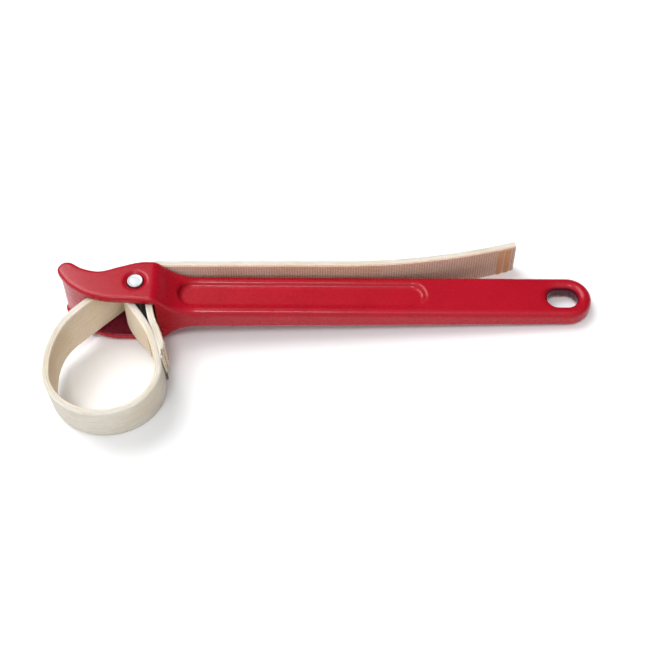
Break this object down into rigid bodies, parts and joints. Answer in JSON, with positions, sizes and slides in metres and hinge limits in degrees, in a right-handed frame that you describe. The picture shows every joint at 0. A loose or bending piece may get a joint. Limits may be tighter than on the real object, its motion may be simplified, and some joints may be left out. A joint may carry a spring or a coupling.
{
  "type": "strap wrench",
  "caption": "Pipe strap wrench: cast handle with a forked head, cross pin, and a woven strap looped through the head with a free tail.",
  "frame": {"origin": "the strap pin's axis, on the flat underside of the head", "axes": "+X along the handle to the hang hole, +Y away from the strap's loop, +Z along the pin, out of the head's upper face"},
  "size_m": [0.4614, 0.1719, 0.0623],
  "materials": {
    "cast_red": "glossy red paint over a cast surface",
    "pin_steel": "bright satin steel",
    "strap_webbing": "undyed woven webbing",
    "seam_thread": "tan stitching thread"
  },
  "bodies": {
    "handle": {"handle_casting": "cast_red", "strap_pin": "pin_steel", "strap_mouth": "strap_webbing", "strap_throat": "strap_webbing"},
    "eye": {"strap_eye": "strap_webbing", "eye_seam_row_1": "seam_thread", "eye_seam_row_2": "seam_thread", "eye_seam_row_3": "seam_thread", "strap_side_right": "strap_webbing", "strap_side_left": "strap_webbing"},
    "loop_far": {"strap_bend": "strap_webbing"},
    "tail_root": {"strap_run": "strap_webbing", "strap_tail_1": "strap_webbing"},
    "tail_2": {"strap_tail_2": "strap_webbing"},
    "tail_3": {"strap_tail_3": "strap_webbing"},
    "tail_4": {"strap_tail_4": "strap_webbing"},
    "tail_5": {"strap_tail_5": "strap_webbing"},
    "tail_6": {"strap_tail_6": "strap_webbing", "tail_stitch_row_1": "seam_thread", "tail_stitch_row_2": "seam_thread"}
  },
  "joints": [
    {"name": "eye_swing", "type": "hinge", "parent": "handle", "child": "eye", "pos_m": [0, 0, 0.0303], "axis": [0, 0, 1], "range_deg": [-15, 4], "deforming": ["strap_mouth"]},
    {"name": "strap_feed", "type": "slide", "parent": "handle", "child": "tail_root", "axis": [1, 0, 0], "range_m": [-0.016, 0.032], "deforming": ["strap_run"]},
    {"name": "loop_draw", "type": "slide", "parent": "eye", "child": "loop_far", "axis": [0, 1, 0], "range_m": [-0.008, 0.016], "deforming": ["strap_side_right", "strap_side_left"]},
    {"name": "tail_bend_1", "type": "hinge", "parent": "tail_root", "child": "tail_2", "pos_m": [0.1027, 0.02455, 0.0303], "axis": [0, 0, 1], "range_deg": [0, 12]},
    {"name": "tail_bend_2", "type": "hinge", "parent": "tail_2", "child": "tail_3", "pos_m": [0.1474, 0.02455, 0.0303], "axis": [0, 0, 1], "range_deg": [0, 12]},
    {"name": "tail_bend_3", "type": "hinge", "parent": "tail_3", "child": "tail_4", "pos_m": [0.1921, 0.02482, 0.0303], "axis": [0, 0, 1], "range_deg": [0, 12]},
    {"name": "tail_bend_4", "type": "hinge", "parent": "tail_4", "child": "tail_5", "pos_m": [0.2368, 0.02806, 0.0303], "axis": [0, 0, 1], "range_deg": [0, 12]},
    {"name": "tail_bend_5", "type": "hinge", "parent": "tail_5", "child": "tail_6", "pos_m": [0.2815, 0.03506, 0.0303], "axis": [0, 0, 1], "range_deg": [0, 12]}
  ],
  "couplings": [
    {"joint": "loop_draw", "follows": "strap_feed", "ratio": 0.5},
    {"joint": "tail_bend_2", "follows": "tail_bend_1", "ratio": 1},
    {"joint": "tail_bend_3", "follows": "tail_bend_1", "ratio": 1},
    {"joint": "tail_bend_4", "follows": "tail_bend_1", "ratio": 1},
    {"joint": "tail_bend_5", "follows": "tail_bend_1", "ratio": 1}
  ]
}
